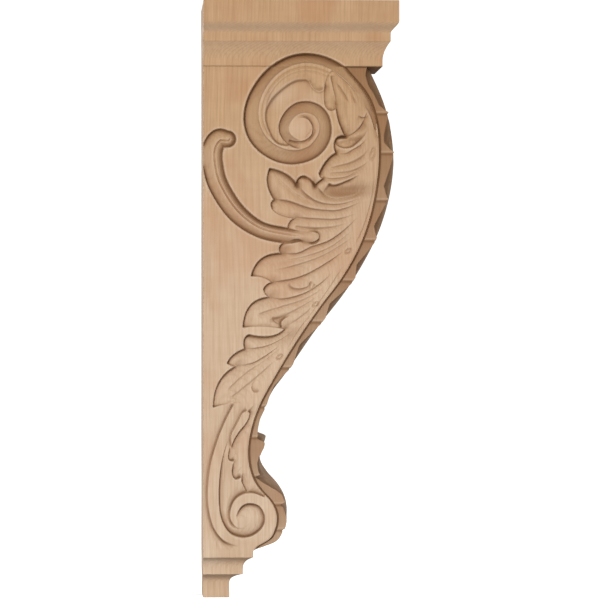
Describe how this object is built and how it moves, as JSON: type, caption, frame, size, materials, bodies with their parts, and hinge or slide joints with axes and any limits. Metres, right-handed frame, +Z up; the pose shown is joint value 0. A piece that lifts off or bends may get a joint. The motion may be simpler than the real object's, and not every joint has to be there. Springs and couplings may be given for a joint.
{
  "type": "wooden corbel bracket",
  "caption": "Tall S-scroll shelf bracket carved from one block of pale hardwood, with moulded cap, stepped foot, volutes and acanthus leaves on both cheeks and the front.",
  "frame": {"origin": "middle of the flat back that lies against the wall", "axes": "+X out from the wall, +Y across the width, +Z up"},
  "size_m": [0.2153, 0.171, 0.66],
  "materials": {
    "pale_hardwood": "sanded bare pale hardwood, vertical grain, no stain or varnish"
  },
  "bodies": {
    "root": {"carved_corbel": "pale_hardwood"}
  },
  "joints": []
}
